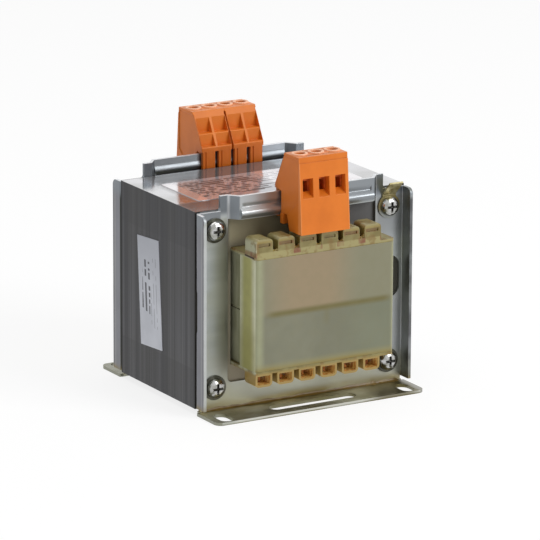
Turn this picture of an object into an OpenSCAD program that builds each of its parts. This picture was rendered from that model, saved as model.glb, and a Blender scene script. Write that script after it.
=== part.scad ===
// Laminated chassis transformer.
// An E and I core stands between two folded sheet brackets. Its coil former carries two
// windings, and clip-on terminal blocks sit on the rails of the brackets.
// X runs to the right, Y to the back and Z up. The feet stand on Z = 0 and the core is
// centred on X = 0 and Y = 0.

/* [Core] */
// Width of the outer legs and yokes; the scrapless E and I rule gives the rest of the outline
yoke = 16; // [14:0.5:20]
// Depth of the stack of laminations
stack = 60; // [45:1:80]
// Number of packets that the laminations are laid in, each turned over against the last
packets = 6; // [6:2:20]
// Diameter of the holes for the core screws
core_hole_d = 5.8; // [5.6:0.1:6.5]
// Gap between the floor and the underside of the core
core_lift = 2.5; // [1.5:0.1:5]

/* [Brackets] */
// Thickness of the bracket sheet
sheet = 1.25; // [1:0.05:1.6]
// Inside radius of the folds
fold_r = 0.3; // [0.2:0.05:1.6]
// Depth of the side flanges, from the core face to their free edge
flange_reach = 6.9; // [5:0.1:9]
// Height of the lower end of the side flanges above the floor
flange_base = 3; // [2.9:0.1:7]
// Depth of the foot, from the core face to its free edge
foot_reach = 18; // [15:0.1:22]
// Corner radius of the foot
foot_corner_r = 3; // [1:0.1:4]
// Distance between the left and right foot slots
slot_pitch_x = 84; // [80:0.5:86]
// Distance from the core face to the middle of the foot slots
slot_y = 12; // [11:0.1:13]
// Width of the foot slots
slot_w = 5.8; // [4.5:0.1:6.5]
// Length of the foot slots
slot_len = 10; // [8:0.1:12]
// Length of the relief slot in the middle of the foot
mid_slot_len = 39.5; // [20:0.5:60]
// Width of the relief slot in the middle of the foot
mid_slot_w = 5.8; // [4:0.1:9]
// Distance from the core face to the middle of the relief slot
mid_slot_y = 10.2; // [9:0.1:13]
// Distance from the top of the core down to the shoulders of the face plate
shoulder_drop = 0.6; // [0.2:0.1:2]
// Corner radius of the window in the face plate
window_r = 2; // [0.5:0.1:3]
// Width of the oblong hole in one limb of the face plate
limb_slot_w = 8.9; // [6:0.1:9]
// Length of the oblong hole in one limb of the face plate
limb_slot_len = 17.3; // [10:0.1:20]
// Length of the notch in the fold of the other limb
fold_notch_len = 19.3; // [10:0.1:22]

/* [Terminal rail] */
// Height of the rail above the top of the core
rail_rise = 5.5; // [4:0.1:8]
// Height of the rail
rail_h = 9.5; // [9:0.1:12]
// Distance that the rail stands out from the core face
rail_gap = 3.8; // [3.6:0.1:5]
// Depth of the inward crease under the top strip of the rail
rail_crease = 0.5; // [0.2:0.1:0.6]
// Depth of the outward bead along the lower part of the rail
rail_bead = 1.3; // [0.8:0.1:1.5]
// Width of each upright tab that carries the rail
rail_tab_w = 3.4; // [3:0.1:6]
// Length of the slanted panel between tab and rail, along the rail
joggle_w = 3.2; // [2:0.1:4]

/* [Coil] */
// Wall of the coil former
former_wall = 1.2; // [0.8:0.1:1.6]
// Distance that the coil former stands out from the core face
former_reach = 19.4; // [18:0.1:22]
// Distance from the core face to the rear edge of the coil covers
cover_start = 7; // [5:0.1:10]
// Wall of the coil covers
cover_wall = 1.2; // [0.8:0.1:1.6]
// Thickness of the wrap round each winding
wrap_t = 0.4; // [0.3:0.05:0.8]
// Corner radius of the windings
winding_r = 7; // [4:0.5:9]

/* [Wire chambers] */
// Number of wire chambers along each flange edge
chambers = 6; // [5:1:6]
// Distance between wire chambers
chamber_pitch = 9.9; // [9:0.1:10]
// Width of one wire chamber
chamber_w = 7.6; // [6:0.1:8]
// Depth of the wire chambers, along the core axis
chamber_depth = 8.4; // [8:0.1:11]
// Height of the upper wire chambers above the coil former
chamber_h = 7.1; // [5:0.1:7.2]
// Height of the lower wire chambers below the coil former
chamber_drop = 5.1; // [4:0.1:6.4]
// Wall of the wire chambers
chamber_wall = 0.9; // [0.6:0.1:1.2]
// Radius of the rounded ends of the wire chambers
chamber_r = 1.7; // [1:0.1:2.8]
// Height of the low rim that joins the upper wire chambers at the front
rim_lip_h = 1.8; // [1:0.1:2.4]
// Side of the square solder pins
pin_w = 1; // [0.6:0.1:1.2]
// Height of the upper solder pins
pin_h = 4.4; // [3:0.1:4.6]

/* [Terminal blocks] */
// Distance between poles
pole_pitch = 7.4; // [7.2:0.1:7.8]
// Number of poles of the front block
front_poles = 3; // [2:1:4]
// Number of poles of each block at the back
back_poles = 2; // [1:1:2]
// Middle of the front block
front_block_x = -2.2; // [-4:0.1:4]
// Line where the two blocks at the back meet
back_blocks_x = 4.8; // [-5:0.1:6]
// Height of the blocks
block_h = 30.7; // [30:0.1:33]
// Distance from the core face to the front of the blocks at their foot
block_reach = 22.7; // [22:0.1:25]
// Backward lean of the front face over its height
block_lean = 2.2; // [1:0.1:3]
// Width of one wire entry
entry_w = 4.6; // [3.5:0.1:4.8]
// Height of one wire entry
entry_h = 8.8; // [7:0.1:9.2]
// Diameter of the screw shafts in the top of the blocks
shaft_d = 4.4; // [4.2:0.1:4.8]
// Height of the raised rims round the screw shafts
rim_h = 0.6; // [0.3:0.1:1]

/* [Fasteners] */
// Thread diameter of the core screws
screw_d = 5; // [4.8:0.1:5.1]
// Head diameter of the core screws
head_d = 8; // [7.8:0.1:9]
// Head height of the core screws
head_h = 2.4; // [2.2:0.1:3]
// Outer diameter of the washers
washer_d = 10; // [9.5:0.1:10.5]
// Thickness of the washers and of the earth tab
washer_t = 0.7; // [0.6:0.1:1]
// Width across the flats of the nuts
nut_af = 8; // [7.5:0.1:9]
// Height of the nuts
nut_h = 4; // [3:0.1:5]
// Width of the blade of the earth tab
tab_w = 6.3; // [4.8:0.1:6.4]
// Length of the blade of the earth tab
tab_len = 8; // [6:0.1:9]

/* [Labels] */
// Length of the rating plate on the top of the core
plate_len = 76; // [50:1:80]
// Width of the rating plate
plate_w = 31; // [20:1:40]
// Height of the label on the left side of the core
label_h = 44.6; // [20:0.1:60]
// Width of the label on the left side
label_w = 17.3; // [10:0.1:25]
// Slant of the label on the left side, in degrees
label_slant = 3.8; // [0:0.1:6]
// Thickness of the plate and the label
foil_t = 0.2; // [0.1:0.05:0.4]

/* [Hidden] */
// Working clearances
fit = 0.2;          // between mouldings and what they slide over
seat = 0.1;         // between a clip and the rail it grips
window_gap = 2;     // between the coil and the window of the face plate
floor_gap = 1.9;    // between the lower wire chambers and the window
thread_gap = 0.05;  // between a screw and its nut or clamp

// Core, by the scrapless E and I rule
core_w = 6 * yoke;
core_h = 5 * yoke;
core_top = core_lift + core_h;
leg_w = 2 * yoke;
opening_base = core_lift + yoke;
opening_top = core_top - yoke;
hole_x = (core_w - yoke) / 2;
hole_low = core_lift + yoke / 2;
hole_high = core_top - yoke / 2;
packet_t = stack / packets;
face = stack / 2;

// Coil
coil_half = leg_w / 2 + yoke;
former_half = coil_half - fit;
former_base = opening_base + fit;
former_top = opening_top - fit;
former_mid = (former_base + former_top) / 2;
tube_x = leg_w / 2 + fit;
tube_y = face + fit;
former_y = face + former_reach;
wrap_half = former_half - cover_wall - fit;
wrap_y = former_y - cover_wall - fit;
chamber_y = former_y - chamber_depth;
chamber_start = chamber_w / 2 - former_half;
chamber_top = former_top + chamber_h;
chamber_base = former_base - chamber_drop;
slit_w = chamber_w - 2 * chamber_wall - 0.6;
slit_h = 1.2;
slit_t = 0.5;
slit_drop = 3;
sill_h = 0.6;

// Bracket
fold_out = sheet + fold_r;
plate_edge = core_w / 2 - fold_out;
shoulder_z = core_top - shoulder_drop;
window_half = coil_half + window_gap;
window_base = chamber_base - floor_gap;
rail_top = core_top + rail_rise;
rail_base = rail_top - rail_h;
rail_half = window_half - joggle_w;
bead_half = rail_half - 0.4;
rail_mid = rail_gap + sheet / 2;
limb_slot_z = core_lift + core_h / 2 + 2.7;
strip_h = 2.6;
crease_h = 4.7;

// Terminal block, as distances out from the core face and heights
block_base = chamber_top + fit;
block_top = block_base + block_h;
front_block_w = front_poles * pole_pitch;
back_block_w = back_poles * pole_pitch;
leg_t = 1.5;
leg_out = rail_gap - rail_crease - seat;
leg_in = leg_out - leg_t;
slot_out = rail_gap + sheet + rail_bead + seat;
slot_top = rail_top + seat;
strip_t = 2.1;
strip_out = slot_out + strip_t;
strip_base = rail_base - 3.2;
nose_top = rail_top + 2.4;
leg_top = rail_top + 0.7;
crown_in = leg_in + 7.5;
hook_reach = 1.4;
hook_h = 1.1;
hook_base = rail_base - seat - hook_h;
notch_top = rail_base + 1;
toe_in = strip_out + 2.9;
toe_low = toe_in + 2;
brow_h = 2.3;
brow_t = 0.3;
leg_slit = 1.6;
groove_w = 0.6;
groove_t = 0.4;
fin_t = 1.1;
pocket_top = block_top - 2.6;
pocket_mid = pocket_top - 5.9;
pocket_low = nose_top + 0.4;
pocket_lip = 0.35;
cell_in = slot_out + 4.8;
cell_depth = 7;
cell_out = cell_in + cell_depth;
cell_w = 5.6;
cell_base = rail_top - 1.9;
cell_top = block_top - 6.6;
entry_base = cell_base + 1.1;
shaft_y = (cell_in + cell_out) / 2;
rim_d = shaft_d + 2.2;
cheek_t = 0.35;
cheek_low = [toe_in, notch_top];
cheek_high = [block_reach - block_lean - 0.4, entry_base];
hollow_wall = 1.4;
hollow_top = cell_base - 2.4;

// Clamps, tails and leads
cage_wall = 0.9;
cage_top = cell_top - 0.6;
cage_bar = 2.8;
clamp_d = 3.4;
clamp_head = shaft_d - 2 * fit;
clamp_head_top = block_top - 3;
tail_w = 2.4;
tail_t = 0.8;
tail_y = toe_low + hollow_wall + 0.2;
tail_base = hollow_top - 5;
lead_d = 1.2;
lead_back = strip_out - 0.8;
lead_low = former_top + 3.7;
lead_turn = (strip_base + chamber_top) / 2;
lead_high = lead_turn + 2.2;
lead_rise = (strip_out + toe_in) / 2 + 0.2;

// Fasteners
head_y = face + sheet + washer_t;
screw_len = stack + 2 * (sheet + washer_t) + nut_h + 2;

// ---------- outlines ----------

// Unit normal of the segment from a to b, to its left
function normal(a, b) = let (d = b - a) [-d[1], d[0]] / norm(d);

// Offset of point i of a path by distance t, with mitred corners
function mitre(path, i, t) =
    let (
        n = len(path) - 1,
        before = normal(path[max(i - 1, 0)], path[max(i, 1)]),
        after = normal(path[min(i, n - 1)], path[min(i + 1, n)]),
        both = before + after
    )
    path[i] + both * 2 * t / (both * both);

// Outline of a strip of sheet of thickness t laid along a path
function strip(path, t) = concat(
    [for (i = [0 : len(path) - 1]) mitre(path, i, t / 2)],
    [for (i = [len(path) - 1 : -1 : 0]) mitre(path, i, -t / 2)]
);

// Smooth step from 0 to 1
function ease(u) = (1 - cos(180 * u)) / 2;

// How far the middle of the rail sheet stands out at depth d below its top edge
function rail_out(d) =
    let (bead_mid = (crease_h + rail_h) / 2)
    d < strip_h ? 0
    : d < crease_h ? -rail_crease * ease((d - strip_h) / (crease_h - strip_h))
    : d < bead_mid
        ? -rail_crease + (rail_crease + rail_bead) * ease((d - crease_h) / (bead_mid - crease_h))
    : rail_bead * (1 - ease((d - bead_mid) / (rail_h - bead_mid)) * 0.7);

// Middle line of the pressed rail, as [distance from the core face, height]
rail_steps = 24;
rail_path = concat(
    [[rail_mid, rail_top]],
    [
        for (i = [0 : rail_steps])
            let (d = strip_h + (rail_h - strip_h) * i / rail_steps)
            [rail_mid + rail_out(d), rail_top - d]
    ]
);

module rounded_square(size, r) {
    translate([r, 0]) square([size[0] - 2 * r, size[1]]);
    translate([0, r]) square([size[0], size[1] - 2 * r]);
    for (x = [r, size[0] - r], y = [r, size[1] - r])
        translate([x, y]) circle(r, $fn = 32);
}

module centred(size, r) {
    translate([-size[0] / 2, -size[1] / 2]) rounded_square(size, r);
}

// Slot with round ends, running along the second axis
module slot(w, length) {
    square([w, length - w], center = true);
    for (s = [-1, 1]) translate([0, s * (length - w) / 2]) circle(d = w, $fn = 48);
}

// Turns an outline drawn as [x, z] to stand upright, its thickness running to -Y from y = 0
module upright(t) {
    rotate([90, 0, 0]) linear_extrude(t) children();
}

// Sweeps an outline drawn as [distance from the core face, z] along X, on the front side
module along_x(x0, x1) {
    translate([x0, -face, 0])
        rotate([90, 0, 90]) mirror([1, 0, 0]) linear_extrude(x1 - x0) children();
}

// Repeats what stands on the front side on the back side, turned half a turn
module both_sides() {
    children();
    rotate([0, 0, 180]) children();
}

// ---------- core ----------

module hole_pair(z) {
    for (x = [-hole_x, hole_x]) translate([x, z]) circle(d = core_hole_d, $fn = 48);
}

module e_outline() {
    difference() {
        translate([-core_w / 2, core_lift]) square([core_w, core_h - yoke]);
        for (s = [-1, 1])
            translate([s * (leg_w + yoke) / 2 - yoke / 2, opening_base])
                square([yoke, opening_top - opening_base]);
        hole_pair(hole_low);
    }
}

module i_outline() {
    difference() {
        translate([-core_w / 2, opening_top]) square([core_w, yoke]);
        hole_pair(hole_high);
    }
}

// Packets lie one behind the other, and every second one is turned upside down
module packet(i) {
    middle = core_lift + core_h / 2;
    translate([0, -face + (i + 1) * packet_t, 0])
        upright(packet_t)
            translate([0, middle])
                scale([1, i % 2 == 0 ? 1 : -1])
                    translate([0, -middle])
                        children();
}

module e_laminations() {
    color([0.30, 0.30, 0.31])
        for (i = [0 : packets - 1]) packet(i) e_outline();
}

module i_laminations() {
    color([0.34, 0.34, 0.35])
        for (i = [0 : packets - 1]) packet(i) i_outline();
}

// ---------- brackets ----------

// Quarter ring of a fold, centred on the origin, from the -X axis to the -Y axis
module fold() {
    intersection() {
        difference() {
            circle(fold_out, $fn = 48);
            circle(fold_r, $fn = 48);
        }
        translate([-fold_out, -fold_out]) square(fold_out);
    }
}

module face_plate() {
    fillet = 1.5;
    tab_out = window_half + rail_tab_w;
    translate([0, -face, 0])
        upright(sheet)
            difference() {
                union() {
                    translate([-plate_edge, flange_base])
                        square([2 * plate_edge, shoulder_z - flange_base]);
                    translate([-plate_edge, fold_out])
                        square([2 * plate_edge, flange_base - fold_out]);
                    translate([-tab_out, shoulder_z])
                        square([2 * tab_out, rail_top - shoulder_z]);
                    for (s = [-1, 1]) scale([s, 1])
                        translate([tab_out, shoulder_z])
                            difference() {
                                square(fillet);
                                translate([fillet, fillet]) circle(fillet, $fn = 32);
                            }
                }
                translate([-window_half, window_base])
                    rounded_square(
                        [2 * window_half, rail_top - window_base + 2 * window_r], window_r);
                for (z = [hole_low, hole_high]) hole_pair(z);
                translate([plate_edge - 1 - limb_slot_w / 2, limb_slot_z])
                    slot(limb_slot_w, limb_slot_len);
            }
}

module side_flange() {
    corner_r = 2.5;
    reach_z = shoulder_z - flange_base;
    intersection() {
        translate([0, -face, flange_base])
            linear_extrude(reach_z) {
                translate([core_w / 2 - fold_out, -fold_out])
                    rotate(180) fold();
                translate([core_w / 2 - sheet, -flange_reach])
                    square([sheet, flange_reach - fold_out]);
            }
        along_x(0, core_w) {
            translate([-1, flange_base]) square([flange_reach + 1 - corner_r, reach_z]);
            translate([0, flange_base]) square([flange_reach, reach_z - corner_r]);
            translate([flange_reach - corner_r, shoulder_z - corner_r])
                circle(corner_r, $fn = 32);
        }
    }
}

// What the notch takes out of a fold: it narrows to the depth of the fold at both ends
module fold_notch() {
    ramp = 2;
    bottom = core_lift + (core_h - fold_notch_len) / 2;
    top = bottom + fold_notch_len;
    along_x(-core_w / 2 - 1, -plate_edge)
        polygon([
            [-1, bottom], [fold_out / 2, bottom], [fold_out + 0.2, bottom + ramp],
            [fold_out + 0.2, top - ramp], [fold_out / 2, top], [-1, top]
        ]);
}

module foot() {
    along_x(-core_w / 2 + 1, core_w / 2 - 1)
        translate([fold_out, fold_out]) fold();
    translate([0, -face - fold_out, 0])
        linear_extrude(sheet)
            difference() {
                translate([-core_w / 2, fold_out - foot_reach])
                    rounded_square([core_w, foot_reach - fold_out + foot_corner_r], foot_corner_r);
                translate([-core_w / 2 - 1, 0]) square([core_w + 2, foot_corner_r + 1]);
                for (x = [-slot_pitch_x / 2, slot_pitch_x / 2])
                    translate([x, fold_out - slot_y]) slot(slot_w, slot_len);
                translate([0, fold_out - mid_slot_y]) rotate(90) slot(mid_slot_w, mid_slot_len);
            }
}

// Rail with its joggled ends; the bead is pressed into its middle
module rail() {
    tab_out = window_half + rail_tab_w;
    plan = [
        [window_half + 0.5, -sheet / 2], [window_half, -sheet / 2],
        [rail_half, -rail_mid], [bead_half, -rail_mid]
    ];
    for (s = [0, 1]) mirror([s, 0, 0])
        translate([0, -face, rail_base])
            linear_extrude(rail_h) polygon(strip(plan, sheet));
    along_x(-bead_half, bead_half) polygon(strip(rail_path, sheet));
    for (s = [0, 1]) mirror([s, 0, 0])
        along_x(bead_half - 0.8, bead_half) {
            polygon(strip(rail_path, sheet));
            translate([rail_gap, rail_base]) square([sheet, rail_h]);
        }
}

module bracket() {
    color([0.72, 0.73, 0.74]) {
        face_plate();
        side_flange();
        difference() {
            mirror([1, 0, 0]) side_flange();
            fold_notch();
        }
        foot();
        rail();
    }
}

module front_bracket() { bracket(); }

module back_bracket() { rotate([0, 0, 180]) bracket(); }

// ---------- coil ----------

// Plate of the coil former: a flange or the partition
module former_plate(z, half_x, half_y) {
    translate([0, 0, z])
        linear_extrude(former_wall)
            difference() {
                centred([2 * half_x, 2 * half_y], 1.5);
                square([2 * tube_x, 2 * tube_y], center = true);
            }
}

// Outline of a wire chamber, seen from the front and closed at its rounded end
module chamber_outline(w, h, r) {
    translate([-w / 2, 0]) square([w, h - r]);
    translate([-w / 2 + r, 0]) square([w - 2 * r, h]);
    for (s = [-1, 1]) translate([s * (w / 2 - r), h - r]) circle(r, $fn = 32);
}

// One wire chamber standing up from z = 0, open at its rear
module chamber(h) {
    inner_w = chamber_w - 2 * chamber_wall;
    difference() {
        translate([0, -chamber_y, 0])
            upright(chamber_depth) chamber_outline(chamber_w, h, chamber_r);
        translate([0, -chamber_y + 1, 0])
            upright(chamber_depth + 1 - chamber_wall)
                chamber_outline(inner_w, h - chamber_wall, chamber_r - chamber_wall);
    }
}

// Upper chamber, with a groove across its front
module upper_chamber() {
    difference() {
        chamber(chamber_h);
        translate([-slit_w / 2, -former_y - 1, chamber_h - slit_drop])
            cube([slit_w, 1 + slit_t, slit_h]);
    }
}

// Lower chamber, a cup that is open at the front so that its pin can be soldered
module lower_chamber() {
    difference() {
        chamber(chamber_drop);
        translate([0, -former_y + chamber_wall + 1, sill_h])
            upright(chamber_wall + 2)
                chamber_outline(
                    chamber_w - 2 * chamber_wall, chamber_drop - chamber_wall - sill_h,
                    chamber_r - chamber_wall);
    }
}

function chamber_x(i) = chamber_start + i * chamber_pitch;

module chamber_row() {
    for (i = [0 : chambers - 1]) {
        translate([chamber_x(i), 0, former_top]) upper_chamber();
        translate([chamber_x(i), 0, former_base]) mirror([0, 0, 1]) lower_chamber();
    }
    along_x(chamber_x(0), chamber_x(chambers - 1))
        translate([former_reach - chamber_wall, former_top - 0.5])
            square([chamber_wall, rim_lip_h + 0.5]);
}

module coil_former() {
    color([0.66, 0.66, 0.54]) {
        translate([0, 0, former_base])
            linear_extrude(former_top - former_base)
                difference() {
                    square([2 * (tube_x + former_wall), 2 * (tube_y + former_wall)],
                        center = true);
                    square([2 * tube_x, 2 * tube_y], center = true);
                }
        former_plate(former_base, former_half, former_y);
        former_plate(former_top - former_wall, former_half, former_y);
        former_plate(former_mid - former_wall / 2, wrap_half - wrap_t, wrap_y - wrap_t);
        both_sides() chamber_row();
    }
}

// Ring round the tube of the former, between two heights
module ring(in_x, in_y, in_r, out_x, out_y, out_r, z0, z1) {
    translate([0, 0, z0])
        linear_extrude(z1 - z0)
            difference() {
                centred([2 * out_x, 2 * out_y], out_r);
                centred([2 * in_x, 2 * in_y], in_r);
            }
}

module winding(z0, z1) {
    ring(
        tube_x + former_wall + fit, tube_y + former_wall + fit, 0.5,
        wrap_half - wrap_t, wrap_y - wrap_t, winding_r,
        z0 + fit, z1 - fit
    );
}

module wrap(z0, z1) {
    ring(
        wrap_half - wrap_t, wrap_y - wrap_t, winding_r,
        wrap_half, wrap_y, winding_r + wrap_t,
        z0 + fit, z1 - fit
    );
}

low_from = former_base + former_wall;
low_to = former_mid - former_wall / 2;
high_from = former_mid + former_wall / 2;
high_to = former_top - former_wall;

module upper_winding() { color([0.62, 0.36, 0.16]) winding(high_from, high_to); }

module lower_winding() { color([0.62, 0.36, 0.16]) winding(low_from, low_to); }

module upper_wrap() { color([0.60, 0.50, 0.38]) wrap(high_from, high_to); }

module lower_wrap() { color([0.46, 0.48, 0.38]) wrap(low_from, low_to); }

module coil_cover() {
    color([0.62, 0.62, 0.52])
        translate([0, 0, low_from])
            linear_extrude(high_to - low_from)
                intersection() {
                    difference() {
                        centred([2 * former_half, 2 * former_y], 1.5);
                        centred(
                            [2 * (former_half - cover_wall), 2 * (former_y - cover_wall)], 0.5);
                    }
                    translate([-coil_half, -former_y - 1])
                        square([2 * coil_half, former_reach + 1 - cover_start]);
                }
}

module front_coil_cover() { coil_cover(); }

module back_coil_cover() { rotate([0, 0, 180]) coil_cover(); }

pin_y = former_y - chamber_depth / 2;
pin_drop = chamber_drop - chamber_wall - 2 * fit;

module solder_pins() {
    color([0.78, 0.70, 0.55])
        both_sides()
            for (i = [0 : chambers - 1]) {
                translate([chamber_x(i) - pin_w / 2, -pin_y - pin_w / 2, former_top])
                    cube([pin_w, pin_w, pin_h]);
                translate([chamber_x(i) - pin_w / 2, -pin_y - pin_w / 2, former_base - pin_drop])
                    cube([pin_w, pin_w, pin_drop]);
            }
}

// ---------- terminal blocks ----------

// Distance of the slanted inner face from the core face at height z
function slant_at(z) = leg_in + (crown_in - leg_in) * (z - nose_top) / (block_top - nose_top);

// Distance of the leaning front face from the core face at height z
function front_at(z) = block_reach - block_lean * (z - block_base) / block_h;

block_outline = [
    [block_reach, block_base], [front_at(block_top - brow_h), block_top - brow_h],
    [front_at(block_top - brow_h) - brow_t, block_top - brow_h],
    [front_at(block_top) - brow_t, block_top], [crown_in, block_top], [leg_in, nose_top],
    [leg_in, hook_base], [leg_out, hook_base], [leg_out + hook_reach, hook_base + hook_h],
    [leg_out, hook_base + hook_h], [leg_out, slot_top], [slot_out, slot_top],
    [slot_out, strip_base], [strip_out, strip_base], [strip_out, notch_top],
    [toe_in, notch_top], [toe_low, block_base]
];

// Side face above the raised cheek
recess_outline = [
    [-1, cheek_low[1]], cheek_low, cheek_high, [cheek_high[0], block_top - brow_h],
    [cheek_high[0] - 1, block_top - 1.2], [-1, block_top - 1.2]
];

hollow_outline = [
    [toe_low + hollow_wall, block_base - 1], [block_reach - hollow_wall, block_base - 1],
    [block_reach - hollow_wall, block_base], [front_at(hollow_top) - hollow_wall, hollow_top],
    [toe_in + hollow_wall, hollow_top], [toe_in + hollow_wall, notch_top]
];

// Funnel of a wire entry; its floor rises towards the clamp
entry_outline = [
    [block_reach + 1, entry_base - 0.6], [block_reach + 1, entry_base + entry_h],
    [cell_out - 1, entry_base + entry_h - 0.6], [cell_out - 1, entry_base + 3.2],
    [cell_out, entry_base + 3]
];

// A box given by its middle along X and by ranges of distance and height
module slab(x, w, y0, y1, z0, z1) {
    translate([x - w / 2, -face - y1, z0]) cube([w, y1 - y0, z1 - z0]);
}

// Everything that is cut out of the block for one pole
module pole_cuts(x) {
    pocket_w = pole_pitch - fin_t;
    slab(x, cell_w, cell_in, cell_out, cell_base, cell_top);
    translate([x, -face - shaft_y, cell_top - 1]) cylinder(h = block_h, d = shaft_d, $fn = 32);
    along_x(x - entry_w / 2, x + entry_w / 2) polygon(entry_outline);
    slab(x, pocket_w, -2, slant_at(pocket_top), pocket_mid, pocket_top);
    slab(x, pocket_w, -2, slant_at(pocket_mid - pocket_lip), pocket_low, pocket_mid - pocket_lip);
    slab(x + 1.6, groove_w, leg_in - 1, leg_in + groove_t, hook_base - 1, leg_top);
    for (s = [-1, 1])
        slab(x + s * pole_pitch / 2, leg_slit, leg_in - 1, slot_out - 0.5, hook_base - 1, leg_top);
    slab(x, tail_w + 2 * seat, tail_y - seat, tail_y + tail_t + seat, hollow_top - 1, cell_base + 1);
    slab(x, lead_d + 2 * fit, toe_in - 1, toe_low + 2 * hollow_wall,
        block_base - 1, lead_high + lead_d);
}

module terminal_block(x0, poles) {
    w = poles * pole_pitch;
    color([0.83, 0.45, 0.17]) {
        difference() {
            along_x(x0, x0 + w) polygon(block_outline);
            for (x = [x0, x0 + w]) along_x(x - cheek_t, x + cheek_t) polygon(recess_outline);
            along_x(x0 + hollow_wall, x0 + w - hollow_wall) polygon(hollow_outline);
            for (i = [0 : poles - 1]) pole_cuts(x0 + (i + 0.5) * pole_pitch);
        }
        for (i = [0 : poles - 1])
            translate([x0 + (i + 0.5) * pole_pitch, -face - shaft_y, block_top])
                difference() {
                    cylinder(h = rim_h, d = rim_d, $fn = 48);
                    translate([0, 0, -1]) cylinder(h = rim_h + 2, d = shaft_d, $fn = 32);
                }
    }
}

front_block_start = front_block_x - front_block_w / 2;

module terminal_block_front() { terminal_block(front_block_start, front_poles); }

module terminal_block_back_left() {
    rotate([0, 0, 180]) terminal_block(-back_blocks_x, back_poles);
}

module terminal_block_back_right() {
    rotate([0, 0, 180]) terminal_block(-back_blocks_x - back_block_w, back_poles);
}

// Repeats what belongs to each pole, at the front and then at the back
module each_pole() {
    for (i = [0 : front_poles - 1])
        translate([front_block_start + (i + 0.5) * pole_pitch, 0, 0]) children();
    rotate([0, 0, 180])
        for (i = [0 : 2 * back_poles - 1])
            translate([-back_blocks_x - back_block_w + (i + 0.5) * pole_pitch, 0, 0]) children();
}

module clamp_cages() {
    color([0.80, 0.78, 0.70])
        each_pole()
            difference() {
                slab(0, cell_w - 2 * fit, cell_in + fit, cell_out - fit,
                    cell_base + tail_t, cage_top);
                slab(0, cell_w - 2 * fit - 2 * cage_wall, cell_in - 1, cell_out + 1,
                    cell_base + tail_t + cage_wall, cage_top - cage_bar);
                translate([0, -face - shaft_y, cage_top - cage_bar - 1])
                    cylinder(h = cage_bar + 2, d = clamp_d + 2 * thread_gap, $fn = 32);
            }
}

module clamp_screws() {
    color([0.80, 0.80, 0.80])
        each_pole()
            translate([0, -face - shaft_y, 0])
                difference() {
                    union() {
                        translate([0, 0, cage_top])
                            cylinder(h = clamp_head_top - cage_top, d = clamp_head, $fn = 32);
                        translate([0, 0, cage_top - cage_bar - 1])
                            cylinder(h = cage_bar + 2, d = clamp_d, $fn = 32);
                    }
                    translate([-clamp_head, -0.4, clamp_head_top - 1.2])
                        cube([2 * clamp_head, 0.8, 2]);
                }
}

module contact_tails() {
    color([0.78, 0.62, 0.35])
        each_pole() {
            slab(0, cell_w - 4 * fit, cell_in + fit, cell_out - fit, cell_base, cell_base + tail_t);
            slab(0, tail_w, tail_y, tail_y + tail_t, tail_base, cell_base);
        }
}

// Lead from the pin of chamber k to the contact tail of the pole at x
module lead(k, x) {
    from = chamber_x(k);
    half = lead_d / 2;
    pin_face = former_reach - chamber_depth / 2 - pin_w / 2;
    slab(from, lead_d, lead_back, pin_face, lead_low - half, lead_low + half);
    translate([0, -face - lead_back + half, 0])
        upright(lead_d)
            polygon(strip([
                [from, lead_low - half], [from, lead_low + half],
                [x, lead_turn - half], [x, lead_turn + half]
            ], lead_d));
    along_x(x - half, x + half)
        polygon(strip([
            [lead_back, lead_turn], [lead_rise, lead_turn], [lead_rise, lead_high],
            [tail_y + tail_t / 2, lead_high], [tail_y + tail_t / 2, tail_base]
        ], lead_d));
}

// Leads of a row of poles, each from one of the chambers next to it
module leads(x0, poles) {
    first = (x0 + poles * pole_pitch / 2 - chamber_start) / chamber_pitch - (poles - 1) / 2;
    for (i = [0 : poles - 1])
        lead(round(first + i), x0 + (i + 0.5) * pole_pitch);
}

module lead_wires() {
    color([0.70, 0.42, 0.20]) {
        leads(front_block_start, front_poles);
        rotate([0, 0, 180]) leads(-back_blocks_x - back_block_w, 2 * back_poles);
    }
}

// ---------- fasteners ----------

// Puts what runs along +Y at the four core holes
module each_hole(y) {
    for (x = [-hole_x, hole_x], z = [hole_low, hole_high])
        translate([x, y, z]) rotate([-90, 0, 0]) children();
}

module core_screws() {
    round_r = 2.4;
    brim = 0.4;
    crown_r = head_d / 2 - round_r;
    dome = [
        for (i = [0 : 6])
            let (a = 15 * i)
            [crown_r + round_r * cos(a), brim + (head_h - brim) * sin(a)]
    ];
    color([0.85, 0.85, 0.86])
        each_hole(-head_y) {
            cylinder(h = screw_len, d = screw_d, $fn = 48);
            difference() {
                mirror([0, 0, 1])
                    rotate_extrude($fn = 48)
                        polygon(concat([[0, 0], [head_d / 2, 0]], dome, [[0, head_h]]));
                for (a = [0, 90])
                    rotate(a) translate([-2.2, -0.55, -head_h - 1]) cube([4.4, 1.1, 2.6]);
            }
        }
}

module washer() {
    difference() {
        cylinder(h = washer_t, d = washer_d, $fn = 48);
        translate([0, 0, -1]) cylinder(h = washer_t + 2, d = screw_d + 2 * fit, $fn = 48);
    }
}

// Three washers at the front; the earth tab takes the place of the fourth
module head_washers() {
    color([0.75, 0.75, 0.73])
        for (x = [-hole_x, hole_x], z = [hole_low, hole_high])
            if (x < 0 || z < core_top / 2)
                translate([x, -head_y, z]) rotate([-90, 0, 0]) washer();
}

module nut_washers() {
    color([0.75, 0.75, 0.73]) each_hole(face + sheet) washer();
}

module nuts() {
    color([0.75, 0.75, 0.73])
        each_hole(head_y)
            difference() {
                cylinder(h = nut_h, d = nut_af / cos(30), $fn = 6);
                translate([0, 0, -1])
                    cylinder(h = nut_h + 2, d = screw_d + 2 * thread_gap, $fn = 48);
            }
}

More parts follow.
